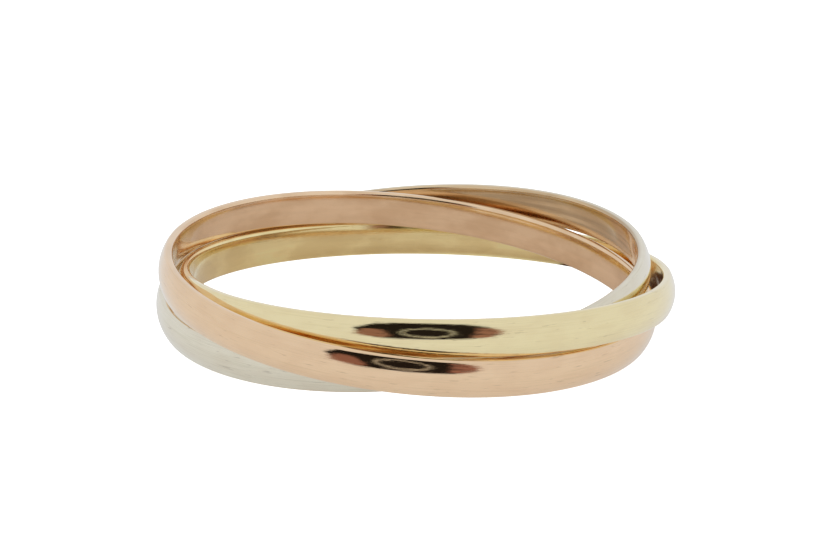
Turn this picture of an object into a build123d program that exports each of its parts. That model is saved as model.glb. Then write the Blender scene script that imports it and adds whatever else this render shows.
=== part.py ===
from build123d import *

import os
from collections import namedtuple
from math import asin, cos, radians, sin

import numpy as np

# Rolling ring: three equal bands, white, rose and yellow, each linked through the other two.
# Lengths are in millimetres. The ring lies on the plane Z = 0, with +Z up and the side that the
# wearer sees first towards -Y.

# Section of a band: flat inside, short sides, low dome outside
inner_diameter = 18.6
band_width = 1.46
side_thickness = 0.34
crown_height = 0.22
inner_edge_radius = 0.16
outer_edge_radius = 0.16

# Smallest play between two bands as they lie
running_clearance = 0.05

# How each band lies. rise_toward and shift_toward are azimuths in degrees, from +X towards +Y:
# the band leans up towards the first and stands off the middle towards the second. rise is the
# height that it gains there, as a share of band_width, and shift a share of band_thickness.
Lie = namedtuple("Lie", "rise_toward rise shift_toward shift")
BANDS = {
    "white_band": Lie(rise_toward=28.7, rise=0.674, shift_toward=130.8, shift=1.045),
    "rose_band": Lie(rise_toward=162.8, rise=0.705, shift_toward=-109.1, shift=0.900),
    "yellow_band": Lie(rise_toward=265.7, rise=0.664, shift_toward=3.4, shift=0.979),
}

# How closely the play is measured: stations round a band, and points round its section
STATIONS = 144
OUTLINE_POINTS = 40
HALVINGS = 24

inner_radius = inner_diameter / 2
band_thickness = side_thickness + crown_height
mean_radius = inner_radius + band_thickness / 2


def band_section():
    """Face of the D section, with X as the radius and Y as the height on the band's axis."""
    rim_radius = inner_radius + side_thickness
    half_width = band_width / 2
    face = make_face([
        Line((inner_radius, half_width), (inner_radius, -half_width)),
        Line((inner_radius, -half_width), (rim_radius, -half_width)),
        ThreePointArc(
            (rim_radius, -half_width),
            (rim_radius + crown_height, 0),
            (rim_radius, half_width),
        ),
        Line((rim_radius, half_width), (inner_radius, half_width)),
    ])
    # The two roundings on a side share it, so a thin side takes smaller ones.
    corners = face.vertices().sort_by(Axis.X)
    face = fillet(corners[:2], min(inner_edge_radius, 0.6 * side_thickness))
    corners = face.vertices().sort_by(Axis.X)
    return fillet(corners[-2:], min(outer_edge_radius, 0.5 * side_thickness))


def section_outline(section):
    """Points round the section, as an array of radius and height."""
    wire = section.face().outer_wire()
    points = [wire.position_at(step / OUTLINE_POINTS) for step in range(OUTLINE_POINTS)]
    return np.array([(point.X, point.Y) for point in points])


def section_sides(outline):
    """Outward normal and offset of each side of the convex outline."""
    edges = np.roll(outline, -1, axis=0) - outline
    normals = np.stack([edges[:, 1], -edges[:, 0]], axis=1)
    normals /= np.linalg.norm(normals, axis=1)[:, None]
    offsets = (normals * outline).sum(axis=1)
    outward = np.sign(offsets - normals @ outline.mean(axis=0))
    return normals * outward[:, None], offsets * outward


def band_frame(lie, spread, outline):
    """Centre, uphill direction, level direction and axis of a band that lies on Z = 0."""
    tilt = asin(spread * lie.rise * band_width / mean_radius)
    uphill_azimuth = radians(lie.rise_toward)
    shift = spread * lie.shift * band_thickness
    shift_azimuth = radians(lie.shift_toward)
    height = (outline[:, 0] * sin(tilt) + np.abs(outline[:, 1]) * cos(tilt)).max()
    flat = np.array([cos(uphill_azimuth), sin(uphill_azimuth), 0])
    up = np.array([0, 0, 1])
    centre = np.array([shift * cos(shift_azimuth), shift * sin(shift_azimuth), height])
    uphill = cos(tilt) * flat + sin(tilt) * up
    axis = cos(tilt) * up - sin(tilt) * flat
    return centre, uphill, np.cross(axis, uphill), axis


def band_points(frame, outline):
    """Points all over a band that lies in the frame."""
    centre, uphill, level, axis = frame
    turn = np.linspace(0, 2 * np.pi, STATIONS, endpoint=False)[:, None]
    spokes = np.cos(turn) * uphill + np.sin(turn) * level
    radii = outline[None, :, 0, None] * spokes[:, None, :]
    heights = outline[None, :, 1, None] * axis
    return (centre + radii + heights).reshape(-1, 3)


def play_beside(points, frame, sides):
    """Least distance of the points from a band that lies in the frame, below zero inside it."""
    centre, uphill, level, axis = frame
    normals, offsets = sides
    arms = points - centre
    in_section = np.stack([np.hypot(arms @ uphill, arms @ level), arms @ axis], axis=1)
    return (in_section @ normals.T - offsets).max(axis=1).min()


def smallest_play(spread, outline):
    """Least distance between any two bands at a given spread."""
    sides = section_sides(outline)
    frames = [band_frame(lie, spread, outline) for lie in BANDS.values()]
    return min(
        play_beside(band_points(first, outline), second, sides)
        for first in frames
        for second in frames
        if second is not first
    )


def settled_spread(outline):
    """Spread at which the bands just keep the running clearance, by halving a range."""
    tight, loose = 0.0, 1.0
    while smallest_play(loose, outline) < running_clearance:
        tight, loose = loose, 1.25 * loose
    for _ in range(HALVINGS):
        middle = (tight + loose) / 2
        if smallest_play(middle, outline) < running_clearance:
            tight = middle
        else:
            loose = middle
    return loose


section = band_section()
outline = section_outline(section)
spread = settled_spread(outline)
band = revolve(Plane.XZ * section, Axis.Z, 360)

frames = {name: band_frame(lie, spread, outline) for name, lie in BANDS.items()}
bands = {}
for name, (centre, uphill, level, axis) in frames.items():
    bands[name] = Plane(origin=tuple(centre), x_dir=tuple(uphill), z_dir=tuple(axis)) * band

# The origin is under the middle of the ring's outline, on the surface that it lies on.
middle = Compound(list(bands.values())).bounding_box().center()
recentre = Pos(-middle.X, -middle.Y, 0)

os.makedirs("parts", exist_ok=True)
for name, placed in bands.items():
    node = recentre * placed
    node.label = name
    export_step(node, f"parts/{name}.step")
    centre = frames[name][0] - np.array([middle.X, middle.Y, 0])
    print(name, "centre", np.round(centre, 4), "axis", np.round(frames[name][3], 6))
print("spread", round(spread, 4), "play", round(smallest_play(spread, outline), 4))
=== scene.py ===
# %% [markdown]
# # A rolling ring of three golds
# A rolling ring is three slim bands of equal size, one white, one rose and one yellow, each of
# them linked through the other two, so that they roll over one another as they go on a finger.
# The CAD frame has three bodies, one for each band, and two joints that let the rose and the
# yellow band turn about their own axes. It could be shown as it is, but its facets are wide for a
# mirror, so each band is made again here with a much finer skin, in exactly the same place.

# %% Load the frame
import math
from collections import namedtuple

import bpy
import numpy as np
from mathutils import Matrix, Vector


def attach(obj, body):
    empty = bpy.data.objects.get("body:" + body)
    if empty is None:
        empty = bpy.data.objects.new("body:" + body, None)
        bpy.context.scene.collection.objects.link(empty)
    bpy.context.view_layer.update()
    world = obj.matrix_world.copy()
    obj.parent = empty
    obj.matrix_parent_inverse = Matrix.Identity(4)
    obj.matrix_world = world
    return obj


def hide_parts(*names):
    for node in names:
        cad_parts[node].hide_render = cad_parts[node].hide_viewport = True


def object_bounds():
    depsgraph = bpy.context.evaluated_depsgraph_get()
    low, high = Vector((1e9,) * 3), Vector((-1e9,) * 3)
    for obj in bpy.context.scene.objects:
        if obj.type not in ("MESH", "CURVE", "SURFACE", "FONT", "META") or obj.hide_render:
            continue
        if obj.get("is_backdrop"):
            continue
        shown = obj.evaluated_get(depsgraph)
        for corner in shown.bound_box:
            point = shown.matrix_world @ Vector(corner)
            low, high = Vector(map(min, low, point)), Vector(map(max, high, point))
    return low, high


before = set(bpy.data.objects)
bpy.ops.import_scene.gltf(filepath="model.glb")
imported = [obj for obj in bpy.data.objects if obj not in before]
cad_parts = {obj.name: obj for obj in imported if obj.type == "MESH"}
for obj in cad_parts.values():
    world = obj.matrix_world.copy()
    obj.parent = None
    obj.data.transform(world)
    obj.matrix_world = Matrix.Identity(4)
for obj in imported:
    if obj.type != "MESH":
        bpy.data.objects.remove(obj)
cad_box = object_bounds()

MM = 0.001

# %% [markdown]
# ## Where each band lies
# A band is a body of revolution, so a centre and an axis say where it is. The two joints give
# those of the rose and the yellow band, but the white one is the root and has no joint. Reading
# all three off the CAD meshes treats them alike: the middle of the surface, weighted by area, is
# the centre, and the direction in which the surface spreads least is the axis.

# %% Centre and axis of each band
def band_place(node):
    """Centre in metres and unit axis of a CAD band."""
    mesh = node.data
    count = len(mesh.polygons)
    middles = np.zeros(count * 3)
    areas = np.zeros(count)
    mesh.polygons.foreach_get("center", middles)
    mesh.polygons.foreach_get("area", areas)
    middles = middles.reshape(-1, 3)
    centre = (middles * areas[:, None]).sum(axis=0) / areas.sum()
    arms = middles - centre
    spread = (arms * areas[:, None]).T @ arms
    axis = np.linalg.eigh(spread)[1][:, 0]
    return centre, axis * np.sign(axis[2])


places = {name: band_place(node) for name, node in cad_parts.items()}
for name, (centre, axis) in places.items():
    print(name, "centre mm", np.round(centre / MM, 3), "axis", np.round(axis, 4))

# %% [markdown]
# ## The section of a band
# Each band has a low D section: almost flat inside with soft edges that are kind to the finger,
# short sides, and a shallow dome outside whose shoulders are rounded into the sides. A lathe
# profile is the direct way to draw it. Its points are set closer together round the edges,
# because those catch the thin bright and dark lines.

# %% Draw the D section
inner_radius = 9.3
band_width = 1.46
side_thickness = 0.34
crown_height = 0.22
outer_edge_radius = 0.16
# The worn inner edge: an ellipse this deep and this high, where the inner face already leans
# back by inner_lean
inner_edge = np.array((0.13, 0.16))
inner_lean = 0.04
# Points along half the dome, an outer edge, an inner edge and the whole inner face
DOME_POINTS, OUTER_EDGE_POINTS, INNER_EDGE_POINTS, INNER_POINTS = 17, 13, 15, 25


def arc(middle, radius, start, stop, count):
    """Points on an arc of a circle, or of an ellipse with two radii. Angles are in degrees."""
    turn = np.radians(np.linspace(start, stop, count))
    return np.array(middle) + radius * np.stack([np.cos(turn), np.sin(turn)], axis=1)


def d_section():
    """Closed outline of a band's section, as an array of radius and height in millimetres."""
    half = band_width / 2
    dome_radius = (half ** 2 + crown_height ** 2) / (2 * crown_height)
    dome_middle = inner_radius + side_thickness + crown_height - dome_radius
    # The outer edge touches the side, at height half, and the dome from inside.
    rise = half - outer_edge_radius
    reach = math.sqrt((dome_radius - outer_edge_radius) ** 2 - rise ** 2)
    edge_middle = dome_middle + reach
    meet = math.degrees(math.atan2(rise, reach))
    upper = half - inner_edge[1]
    heights = np.linspace(upper, -upper, INNER_POINTS)[1:-1]
    inner = np.stack([inner_radius + inner_lean * np.abs(heights / upper) ** 3, heights], axis=1)
    soft_middle = inner_radius + inner_lean + inner_edge[0]
    top = np.concatenate([
        arc((dome_middle, 0), dome_radius, 0, meet, DOME_POINTS),
        arc((edge_middle, rise), outer_edge_radius, meet, 90, OUTER_EDGE_POINTS)[1:],
        arc((soft_middle, upper), inner_edge, 90, 180, INNER_EDGE_POINTS),
    ])
    bottom = top[:0:-1] * (1, -1)
    return np.concatenate([top, inner, bottom])


section = d_section()
print("section points", len(section), "thickness mm", round(float(np.ptp(section[:, 0])), 3))

# %% [markdown]
# ## Turning the section into a band
# Spinning the profile round the axis, as a lathe does, gives a clean grid of quads. A Screw
# modifier could spin it too, but a grid worked out here also knows where on the band each of its
# points is, and the finish needs that later.

# %% Spin the section round an axis
STATIONS = 720


def band_grid(centre, axis):
    """Turns in radians, points in metres and quads of a band."""
    up = Vector(axis)
    right = Vector((0, 1, 0)).cross(up).normalized()
    across = up.cross(right)
    turn = np.linspace(0, 2 * np.pi, STATIONS, endpoint=False)
    spokes = np.cos(turn)[:, None] * np.array(right) + np.sin(turn)[:, None] * np.array(across)
    points = spokes[:, None, :] * section[None, :, :1] + np.array(up) * section[None, :, 1:]
    points = points.reshape(-1, 3) * MM + centre
    ring = np.arange(STATIONS)[:, None] * len(section)
    step = np.arange(len(section))[None, :]
    after = (ring + len(section)) % (STATIONS * len(section))
    beside = (step + 1) % len(section)
    quads = np.stack([ring + step, after + step, after + beside, ring + beside], axis=-1)
    return turn, points, quads.reshape(-1, 4)


print("a band has", STATIONS, "stations and", STATIONS * len(section), "points")

# %% [markdown]
# ## Notes on the surface
# Each point keeps a note of where it is on the band: the turn round it, as a cosine and a sine so
# that there is no seam, and the way across the section. Polishing marks follow those directions,
# and since the notes belong to the mesh, the marks go with a band when it turns. A second note
# says what belongs to the inner face, which is finished in another way.

# %% Mesh with notes
# The inner face ends this far out from the inner radius, and fades into the outside over this much
INSIDE_REACH, INSIDE_FADE = 0.20, 0.10


def spin_band(name, centre, axis):
    """One band, with the attributes 'lay' (cosine, sine and height) and 'inside' (0 to 1)."""
    turn, points, quads = band_grid(centre, axis)
    mesh = bpy.data.meshes.new(name)
    mesh.from_pydata(points.tolist(), [], quads.tolist())
    lay = mesh.attributes.new("lay", "FLOAT_VECTOR", "POINT")
    values = np.zeros((STATIONS, len(section), 3))
    values[:, :, 0] = np.cos(turn)[:, None]
    values[:, :, 1] = np.sin(turn)[:, None]
    values[:, :, 2] = section[None, :, 1]
    lay.data.foreach_set("vector", values.astype(np.float32).ravel())
    depth = np.clip((inner_radius + INSIDE_REACH - section[:, 0]) / INSIDE_FADE, 0, 1)
    inside = mesh.attributes.new("inside", "FLOAT", "POINT")
    inside.data.foreach_set("value", np.tile(depth, STATIONS).astype(np.float32))
    mesh.shade_smooth()
    mesh.validate()
    band = bpy.data.objects.new(name, mesh)
    bpy.context.scene.collection.objects.link(band)
    return band

# %% [markdown]
# ## Three bands in place
# Each new band moves with its CAD body and stands for its CAD node, which is hidden.

# %% The three bands
bands = {}
for name, (centre, axis) in places.items():
    band = spin_band(name.replace("_band", "_gold_band"), centre, axis)
    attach(band, name)
    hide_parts(name)
    bands[name] = band
    print(band.name, len(band.data.polygons), "faces")

# %% [markdown]
# ## Arithmetic on shader sockets
# A finish is a formula: a base colour, less a little where a mark is, and so on. Dragging nodes
# about hides that formula, so a small class stands for a socket and lets Python write it. Its
# method node makes every other kind of node.

# %% A socket that can be added and multiplied
class Wire:
    """An output socket of a shader tree. Arithmetic on it adds Math nodes."""

    def __init__(self, tree, socket):
        self.tree, self.socket = tree, socket

    @classmethod
    def node(cls, tree, kind, settings=None, sockets=None, out=0):
        """A new node, set up first and then fed, as the wire from one of its outputs."""
        made = tree.nodes.new("ShaderNode" + kind)
        for key, value in (settings or {}).items():
            setattr(made, key, value)
        for key, value in (sockets or {}).items():
            if isinstance(value, cls):
                tree.links.new(value.socket, made.inputs[key])
            else:
                made.inputs[key].default_value = value
        return cls(tree, made.outputs[out])

    def math(self, operation, first, second):
        return self.node(self.tree, "Math", {"operation": operation}, {0: first, 1: second})

    def __add__(self, other):
        return self.math("ADD", self, other)

    def __radd__(self, other):
        return self.math("ADD", other, self)

    def __sub__(self, other):
        return self.math("SUBTRACT", self, other)

    def __rsub__(self, other):
        return self.math("SUBTRACT", other, self)

    def __mul__(self, other):
        return self.math("MULTIPLY", self, other)

    def __rmul__(self, other):
        return self.math("MULTIPLY", other, self)

# %% [markdown]
# ## Noise that runs round the band
# The bands have a mirror polish that is worn by their rolling over one another, so every mark on
# them runs round the band. They could be drawn one by one as curves. Noise stretched along the
# band gives them in any length instead, without a seam, and a threshold cuts it into marks.

# %% Stretched noise
def streaks(lay, round_scale, across_scale, detail):
    """Noise from 0 to 1, stretched along the band."""
    stretched = Wire.node(
        lay.tree, "VectorMath", {"operation": "MULTIPLY"},
        {0: lay, 1: (round_scale, round_scale, across_scale)},
    )
    sockets = {"Vector": stretched, "Scale": 1.0, "Detail": detail}
    return Wire.node(lay.tree, "TexNoise", {}, sockets)


def between(wire, low, high):
    """0 below low, 1 above high, smooth in between."""
    return Wire.node(
        wire.tree, "MapRange", {"interpolation_type": "SMOOTHSTEP"},
        {0: wire, 1: low, 2: high, 3: 0.0, 4: 1.0},
    )


def blend(amount, first, second):
    """Colour mix. first and second are colours or wires."""
    ends = [end if isinstance(end, Wire) else (*end, 1) for end in (first, second)]
    return Wire.node(
        amount.tree, "Mix", {"data_type": "RGBA"}, {0: amount, 6: ends[0], 7: ends[1]}, out=2,
    )

# %% [markdown]
# ## Six kinds of mark
# Outside there are hairlines, long faint scratches, short dashes where the metal is dented, and
# dull patches. Inside there are soft clouds from the finger, and a broad grain from the tool that
# cut the hole. All six are one noise with other numbers, so a table holds them.

# %% Table of marks
# Scale of the noise round the band and across it, its detail, and the heights of the noise at
# which the mark begins and at which it is full
Mark = namedtuple("Mark", "round_scale across_scale detail begins full")
MARKS = {
    "patches": Mark(9.0, 2.6, 5.0, 0.36, 0.66),
    "hairs": Mark(5.0, 26.0, 4.0, 0.54, 0.74),
    "lines": Mark(4.0, 36.0, 5.0, 0.50, 0.68),
    "dashes": Mark(13.0, 15.0, 4.0, 0.63, 0.72),
    "clouds": Mark(5.0, 1.0, 4.0, 0.35, 0.65),
    "grain": Mark(1.1, 3.6, 4.0, 0.38, 0.62),
}
for kind, mark in MARKS.items():
    long, wide = inner_radius / mark.round_scale, 1 / mark.across_scale
    print(kind, "about", round(long, 1), "mm long and", round(wide, 2), "mm wide")


def all_marks(lay):
    """Every kind of mark as a wire from 0 to 1."""
    return {
        kind: between(
            streaks(lay, mark.round_scale, mark.across_scale, mark.detail), mark.begins, mark.full,
        )
        for kind, mark in MARKS.items()
    }

# %% [markdown]
# ## Colour of the two faces
# A mark doesn't add paint. It tips the metal a little, so that it mirrors something darker, and
# the colour of the gold deepens there. Each mark therefore blends the colour towards a darker one
# of the same hue. On the inner face the clouds go both ways, since a finger dulls the metal in
# one place and polishes it in another.

# %% Outer and inner shade
# What each mark multiplies the colour by
DULL_PATCH, FAINT_LINE, DENT = (0.94, 0.91, 0.89), (0.78, 0.77, 0.70), (0.6, 0.56, 0.55)
DULL_CLOUD, FRESH_CLOUD, GRAIN = (0.94, 0.91, 0.87), (1.09, 1.12, 1.15), (0.50, 0.46, 0.40)
# How much of that each mark shows
PATCHES_SHOW, HAIRS_SHOW, LINES_SHOW, DENTS_SHOW, HAIRS_SHOW_INSIDE = 0.6, 0.35, 0.5, 0.3, 0.25


def scaled(colour, factors):
    """A colour times three factors."""
    return tuple(round(part * factor, 4) for part, factor in zip(colour, factors))


def outer_shade(marks, colour, scratched):
    """Colour of the polished outside."""
    dulled = marks["patches"] * PATCHES_SHOW + marks["hairs"] * HAIRS_SHOW
    shade = blend(dulled, colour, scaled(colour, DULL_PATCH))
    shade = blend(marks["lines"] * (LINES_SHOW * scratched), shade, scaled(colour, FAINT_LINE))
    dented = marks["dashes"] * (DENTS_SHOW * (1 + scratched))
    return blend(dented, shade, scaled(colour, DENT))


def inner_shade(marks, colour, grained):
    """Colour of the satin inside, with the painted reflection and painted shade that its colour
    holds.
    """
    fresh = marks["clouds"] - marks["hairs"] * HAIRS_SHOW_INSIDE
    shade = blend(fresh, scaled(colour, DULL_CLOUD), scaled(colour, FRESH_CLOUD))
    return blend(marks["grain"] * grained, shade, scaled(colour, GRAIN))


for kind, factors in (("dull patch", DULL_PATCH), ("faint line", FAINT_LINE), ("dent", DENT)):
    print("the shade of a", kind, "is", round(sum(factors) / 3, 2), "of the clean colour")

# %% [markdown]
# ## Three golds
# The three alloys differ in colour and in how worn they are, so one formula with different
# numbers makes them all. The outside is a mirror. The inside can't be reached by a big polishing
# wheel, so it keeps a satin finish, and a satin face softens whatever it mirrors into broad shades.
# The inner colour of each band is partly the gold's own and partly a painted reflection and
# painted shade: inside the white band it is the warm brown of the rose and yellow gold across the
# ring. Each band takes its noise from another place, because otherwise all three would be
# scratched alike.

# %% Gold finishes
SATIN = 0.14
# The clear film that handling leaves on the metal, and that gives it a second, colourless gloss
FILM, FILM_ROUGHNESS, FILM_IOR = 1.0, 0.06, 1.6
# How much rougher the metal is on a hairline and in a dent
ROUGH_HAIR, ROUGH_DENT = 0.05, 0.10
# The finest brushing: scale of the noise round and across, and its detail. A dent goes this much
# of the brushing's height down.
BRUSHING = (7.0, 60.0, 2.0)
DENT_DEPTH = 0.5
BUMP_STRENGTH, BUMP_HEIGHT = 0.06, 0.02 * MM


def gold(name, colour, inner_colour_and_painted_reflection, scratched, grained, polish, start):
    """Worn gold of one colour, mirror outside and satin inside, whose inner colour holds a painted
    reflection and painted shade. Its noise begins at start.
    """
    material = bpy.data.materials.new(name)
    material.use_nodes = True
    tree = material.node_tree
    lay = Wire.node(tree, "Attribute", {"attribute_name": "lay"}, out=1)
    lay = Wire.node(tree, "VectorMath", {"operation": "ADD"}, {0: lay, 1: (0, 0, start)})
    inside = Wire.node(tree, "Attribute", {"attribute_name": "inside"}, out=2)
    marks = all_marks(lay)
    outer = outer_shade(marks, colour, scratched)
    shade = blend(inside, outer, inner_shade(marks, inner_colour_and_painted_reflection, grained))
    worn = marks["hairs"] * ROUGH_HAIR + marks["dashes"] * ROUGH_DENT
    roughness = inside * (SATIN - polish) + worn + polish
    relief = streaks(lay, *BRUSHING) - marks["dashes"] * DENT_DEPTH
    bump = Wire.node(
        tree, "Bump", {}, {"Strength": BUMP_STRENGTH, "Distance": BUMP_HEIGHT, "Height": relief},
    )
    shader = tree.nodes["Principled BSDF"]
    shader.inputs["Metallic"].default_value = 1.0
    shader.inputs["Coat Weight"].default_value = FILM
    shader.inputs["Coat Roughness"].default_value = FILM_ROUGHNESS
    shader.inputs["Coat IOR"].default_value = FILM_IOR
    tree.links.new(shade.socket, shader.inputs["Base Color"])
    tree.links.new(roughness.socket, shader.inputs["Roughness"])
    tree.links.new(bump.socket, shader.inputs["Normal"])
    return material


# Each inner colour is partly the gold's own and partly painted reflection and shade; the white
# band's brown inner colour is a painted reflection of the rose and yellow gold.
finishes = {
    "white_band": gold(
        "white_gold", colour=(0.855, 0.81, 0.67), inner_colour_and_painted_reflection=(0.76, 0.565, 0.34),
        scratched=1.0, grained=0.65, polish=0.07, start=0.0,
    ),
    "rose_band": gold(
        "rose_gold", colour=(0.94, 0.685, 0.445), inner_colour_and_painted_reflection=(0.905, 0.655, 0.425),
        scratched=0.6, grained=0.08, polish=0.06, start=5.3,
    ),
    "yellow_band": gold(
        "yellow_gold", colour=(0.96, 0.84, 0.50), inner_colour_and_painted_reflection=(0.96, 0.81, 0.415),
        scratched=0.5, grained=0.12, polish=0.05, start=3.1,
    ),
}
for name, material in finishes.items():
    bands[name].data.materials.append(material)
    print(name, "is", material.name, "with", len(material.node_tree.nodes), "nodes")

# %% [markdown]
# ## A bright tent
# Polished metal shows nothing of its own and everything that is round it. Jewellery is therefore
# photographed inside a tent of white cloth, where the light is even and almost without shadows. A
# world of one pale grey does the same. The grey, not the metal, sets how bright the rims look,
# because metal seen at a glancing angle turns into a plain mirror of its surroundings. Between two
# bands that almost touch, light goes from one to the other many times, and each time it takes on
# more of their colour. With the usual four bounces such a gap turns black, and with twelve it
# glows orange, as the real one does.

# %% The tent
TENT_LIGHT = 0.76
scene = bpy.context.scene
scene.view_settings.view_transform = "Standard"
scene.cycles.glossy_bounces = 12
world = bpy.data.worlds.new("white_tent")
scene.world = world
world.use_nodes = True
cloth = world.node_tree.nodes["Background"]
cloth.inputs["Color"].default_value = (1, 1, 1, 1)
cloth.inputs["Strength"].default_value = TENT_LIGHT
print("tent light", TENT_LIGHT, "glossy bounces", scene.cycles.glossy_bounces)

# %% [markdown]
# ## Paper for the studio
# The table, the backdrop and the card are flat matt paper. Their shade decides what the metal
# mirrors, so it has to be exact, and a glow sets it exactly where a lamp would spill. Some paper
# is only there for the camera and some only for the metal, so each piece says which kinds of ray
# meet it.

# %% Paper and pieces of the studio
def paper(name, grey, glow=(1, 1, 1)):
    """Matt paper that reflects a share of the light, its grey, and gives off the colour glow."""
    material = bpy.data.materials.new(name)
    material.use_nodes = True
    shader = material.node_tree.nodes["Principled BSDF"]
    shader.inputs["Base Color"].default_value = (grey, grey, grey, 1)
    shader.inputs["Specular IOR Level"].default_value = 0.0
    shader.inputs["Roughness"].default_value = 1.0
    shader.inputs["Emission Color"].default_value = (*glow, 1)
    shader.inputs["Emission Strength"].default_value = 1.0
    return material


def stage_piece(name, points, faces, material, seen_by):
    """A piece of the studio. seen_by names the kinds of ray that meet it."""
    mesh = bpy.data.meshes.new(name)
    mesh.from_pydata(points, [], faces)
    mesh.materials.append(material)
    piece = bpy.data.objects.new(name, mesh)
    scene.collection.objects.link(piece)
    piece.visible_camera = "camera" in seen_by
    piece.visible_diffuse = "diffuse" in seen_by
    piece.visible_glossy = "glossy" in seen_by
    piece.visible_shadow = "shadow" in seen_by
    piece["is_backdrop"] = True
    print(name, "has", len(points), "points and is seen by", ", ".join(seen_by))
    return piece

# %% [markdown]
# ## The table for the camera
# The ring lies on white paper. The camera is exposed for the metal, so the bare paper is burnt
# out to pure white, while the same paper still looks pale grey where the metal mirrors it. One
# sheet can't be both, so there are two in one place. This is the bright one, which only the
# camera sees.

# %% Bright sheet
table_half = 0.6
table_depth = 0.02 * MM


def sheet(name, depth, material, seen_by):
    """A square sheet of paper, this far under the ring."""
    corners = [
        (x * table_half, y * table_half, -depth) for x, y in ((-1, -1), (1, -1), (1, 1), (-1, 1))
    ]
    return stage_piece(name, corners, [(0, 1, 2, 3)], material, seen_by)


sheet("table", table_depth, paper("table", 0.85), ("camera",))

# %% [markdown]
# ## A white backdrop
# In the studio the paper curves up behind the ring, so that no edge shows. Here the ring is looked
# at from every side, so a white dome closes the view all round. Its foot is a little under the
# table.

# %% Backdrop
backdrop_radius, backdrop_drop = 0.5, 0.01
BACKDROP_LEVELS, BACKDROP_SIDES = 6, 24

dome, dome_faces = [], []
for level in range(BACKDROP_LEVELS):
    lift = 0.5 * math.pi * level / BACKDROP_LEVELS
    for side in range(BACKDROP_SIDES):
        turn = 2 * math.pi * side / BACKDROP_SIDES
        dome.append((
            backdrop_radius * math.cos(lift) * math.cos(turn),
            backdrop_radius * math.cos(lift) * math.sin(turn),
            backdrop_radius * math.sin(lift) - backdrop_drop,
        ))
        here = level * BACKDROP_SIDES + side
        beside = level * BACKDROP_SIDES + (side + 1) % BACKDROP_SIDES
        if level < BACKDROP_LEVELS - 1:
            dome_faces.append((here, beside, beside + BACKDROP_SIDES, here + BACKDROP_SIDES))
        else:
            dome_faces.append((here, beside, BACKDROP_LEVELS * BACKDROP_SIDES))
dome.append((0, 0, backdrop_radius - backdrop_drop))
stage_piece("backdrop", dome, dome_faces, paper("backdrop", 0.0), ("camera",))

# %% [markdown]
# ## The table in the metal
# The second sheet is there for the metal alone. Inside the ring it is dimmer and warm, because
# the bands shade it and throw their own colour on it. Under the bands in the far right corner,
# where they stand highest, hardly any light gets in, and it is almost dark. Its glow therefore
# changes with the distance from the middle and from that corner, and the paper darkens with it.

# %% Sheet with a warm middle and a dark corner
mirrored_depth = 0.03 * MM
mirrored_grey = 0.40
warm, bright = (0.30, 0.235, 0.185), (0.46, 0.46, 0.455)
gloom_glow, gloom_paper = (0.01, 0.0, 0.0), (0.10, 0.05, 0.03)
# Distances from the middle between which the warm part turns bright, and between which the dark
# part begins and ends under the bands
turns_bright = (8.9 * MM, 9.6 * MM)
gloom_begins, gloom_ends = (9.0 * MM, 9.35 * MM), (9.9 * MM, 10.4 * MM)
# The dark corner, and the distances from it between which the dark part fades
dark_corner, corner_fades = (7.8 * MM, 6.1 * MM, 0), (2.1 * MM, 2.6 * MM)

in_metal = paper("table_in_metal", mirrored_grey)
tree = in_metal.node_tree
spot = Wire.node(tree, "NewGeometry")
reach = Wire.node(tree, "VectorMath", {"operation": "LENGTH"}, {0: spot}, out=1)
corner = Wire.node(tree, "VectorMath", {"operation": "DISTANCE"}, {0: spot, 1: dark_corner}, out=1)
under_bands = between(reach, *gloom_begins) - between(reach, *gloom_ends)
gloom = under_bands * (1 - between(corner, *corner_fades))
glow = blend(between(reach, *turns_bright), warm, bright)
glow = blend(gloom, glow, gloom_glow)
ground = blend(gloom, (mirrored_grey,) * 3, gloom_paper)
tree.links.new(glow.socket, tree.nodes["Principled BSDF"].inputs["Emission Color"])
tree.links.new(ground.socket, tree.nodes["Principled BSDF"].inputs["Base Color"])
sheet("table_in_metal", mirrored_depth, in_metal, ("glossy", "shadow", "diffuse"))

# %% [markdown]
# ## A dark card
# In a plain white tent polished gold looks like matt plastic, because nothing dark shows in it. A
# dark card in front gives each band one crisp dark reflection, which is what tells the eye that
# it is a mirror. The card is hidden from the camera and is seen only in the metal.

# %% Dark card
card_distance = 70.0


def on_card(name, outline, colour, step=0.0, faces=None):
    """Flat shape upright in front of the ring, from points (x, z) in millimetres."""
    points = [(x * MM, (step - card_distance) * MM, z * MM) for x, z in outline]
    faces = faces or [tuple(range(len(points)))]
    return stage_piece(name, points, faces, paper(name, 0.0, colour), ("glossy",))


card = [
    (23, 0), (31, 2), (41, 8), (45, 30), (41, 44), (35, 55), (26, 64), (12, 69), (-5, 71),
    (-20, 69), (-30, 64), (-35, 55), (-39, 42), (-43, 33), (-39, 25), (-38, 17), (-34, 8), (-24, 0),
]
on_card("dark_card", card, (0.016, 0.012, 0.010))

# %% [markdown]
# ## Warm patches on the card
# A plain dark card gives a plain dark bar. The reflection has more to it, first of all a reddish
# brown patch at each end, frayed at the outer side. The patches are cut out flat and stand just
# in front of the card, and the fray on the right is two dark slivers in front of the patch.

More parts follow.
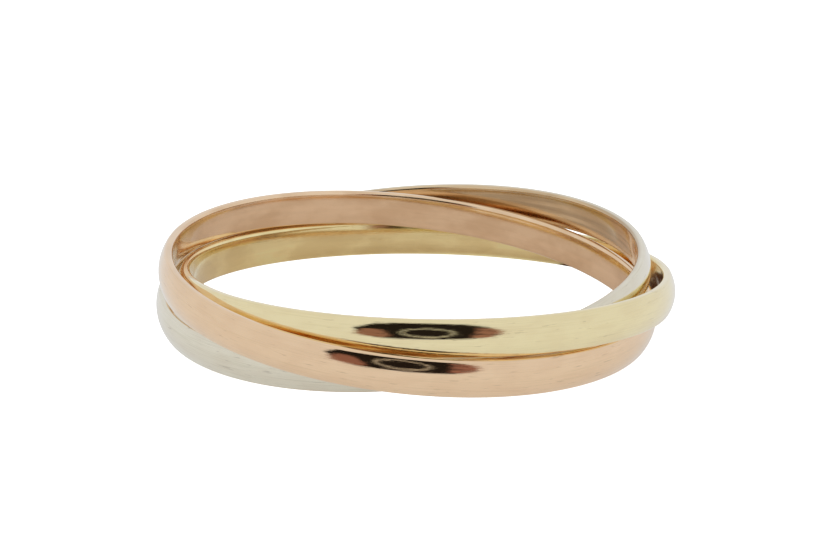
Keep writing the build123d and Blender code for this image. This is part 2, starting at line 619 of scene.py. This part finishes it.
# %% Patches
patch_step, fray_step = 0.3, 0.4
fray_colour = (0.05, 0.03, 0.025)
left_patch = [
    (-21, 1), (-17, 9), (-20, 20), (-23, 31), (-31, 33), (-37, 30), (-35, 25), (-41, 20),
    (-36, 15), (-41, 9), (-33, 5),
]
right_patch = [
    (25, 3), (33, 3), (41, 7), (39, 11), (49, 14), (42, 18), (52, 24), (43, 26), (51, 32),
    (42, 34), (46, 38), (38, 40), (31, 42), (29, 26), (26, 14),
]
on_card("left_patch", left_patch, (0.27, 0.135, 0.105), patch_step)
on_card("right_patch", right_patch, (0.30, 0.15, 0.12), patch_step)
on_card("right_fray", [(29, 37), (46, 25), (30, 31)], fray_colour, fray_step)
on_card("lower_fray", [(26, 20), (45, 12), (25, 14)], fray_colour, fray_step)

# %% [markdown]
# ## A pale ring on the card
# In the middle of the dark reflection there is a pale oval ring. It is cut out flat too. A band
# curves far more from edge to edge than along its length, so it flattens what it mirrors. On the
# card the ring is therefore taller than it is wide, and thicker above and below than at its
# sides.

# %% Pale ring
ring_step = 0.5
ring_x, ring_z = 2.2, 22.6
ring_outer, ring_inner = (14.4, 17.4), (12.9, 14.2)
RING_STEPS = 64

oval = []
for radius_x, radius_z in (ring_outer, ring_inner):
    for step in range(RING_STEPS):
        turn = 2 * math.pi * step / RING_STEPS
        oval.append((ring_x + radius_x * math.cos(turn), ring_z + radius_z * math.sin(turn)))
oval_faces = [
    (step, (step + 1) % RING_STEPS, RING_STEPS + (step + 1) % RING_STEPS, RING_STEPS + step)
    for step in range(RING_STEPS)
]
on_card("pale_ring", oval, (0.52, 0.50, 0.44), ring_step, oval_faces)

# %% [markdown]
# ## Camera
# The ring is seen from a little above, as it lies on a table. A long lens from close by keeps the
# far side of the ring in proportion. Its place was worked out from the outlines of the bands.

# %% Camera
look_at = Vector((0, 0, 1.75 * MM))
elevation = math.radians(17.85)
azimuth = math.radians(0.666)
roll = math.radians(0.367)
distance = 105.2 * MM
back = Vector((
    math.cos(elevation) * math.sin(azimuth),
    -math.cos(elevation) * math.cos(azimuth),
    math.sin(elevation),
))
side = Vector((math.cos(azimuth), math.sin(azimuth), 0))
upward = back.cross(side)
side, upward = (
    math.cos(roll) * side + math.sin(roll) * upward,
    math.cos(roll) * upward - math.sin(roll) * side,
)
camera_data = bpy.data.cameras.new("camera")
camera_data.sensor_width = 36.0
camera_data.lens = 115.28
camera_data.shift_x = -0.0012
camera_data.shift_y = 0.00503
camera_data.clip_start = 0.005
camera_data.clip_end = 10.0
camera = bpy.data.objects.new("camera", camera_data)
scene.collection.objects.link(camera)
camera.matrix_world = Matrix.Translation(look_at + distance * back) @ Matrix(
    (side, upward, back)
).transposed().to_4x4()
scene.camera = camera
print("camera mm", [round(part / MM, 1) for part in camera.matrix_world.translation])

# %% Measure the sizes
sizes = {
    "cad": [[float(v) for v in corner] for corner in cad_box],
    "visual": [[float(v) for v in corner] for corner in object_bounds()],
}
for name, (low, high) in sizes.items():
    print(name, "box mm", [round((top - bottom) / MM, 2) for bottom, top in zip(low, high)])
